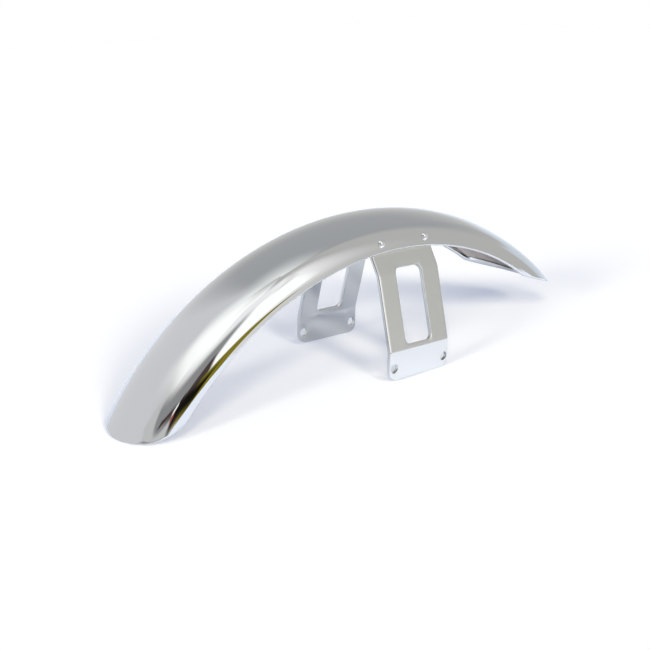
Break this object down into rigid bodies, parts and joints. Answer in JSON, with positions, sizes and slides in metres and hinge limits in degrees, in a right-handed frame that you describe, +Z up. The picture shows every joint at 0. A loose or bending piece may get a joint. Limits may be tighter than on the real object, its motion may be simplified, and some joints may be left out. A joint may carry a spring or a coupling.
{
  "type": "motorcycle front mudguard",
  "caption": "Slim chromed front mudguard for a motorcycle: a hemmed steel shell riveted to bent fork brackets with windows and bolt holes.",
  "frame": {"origin": "middle of the bounding box's underside, on the wheel's centre plane", "axes": "+X forward along the motorcycle, +Y to the rider's left, +Z up; the wheel's axle runs along Y"},
  "size_m": [0.5541, 0.147, 0.1684],
  "materials": {
    "chromed_shell": "polished",
    "plated_bracket": "satin",
    "rivet": "polished"
  },
  "bodies": {
    "root": {"mudguard_shell": "chromed_shell", "bracket_left": "plated_bracket", "bracket_right": "plated_bracket", "rivets": "rivet"}
  },
  "joints": []
}
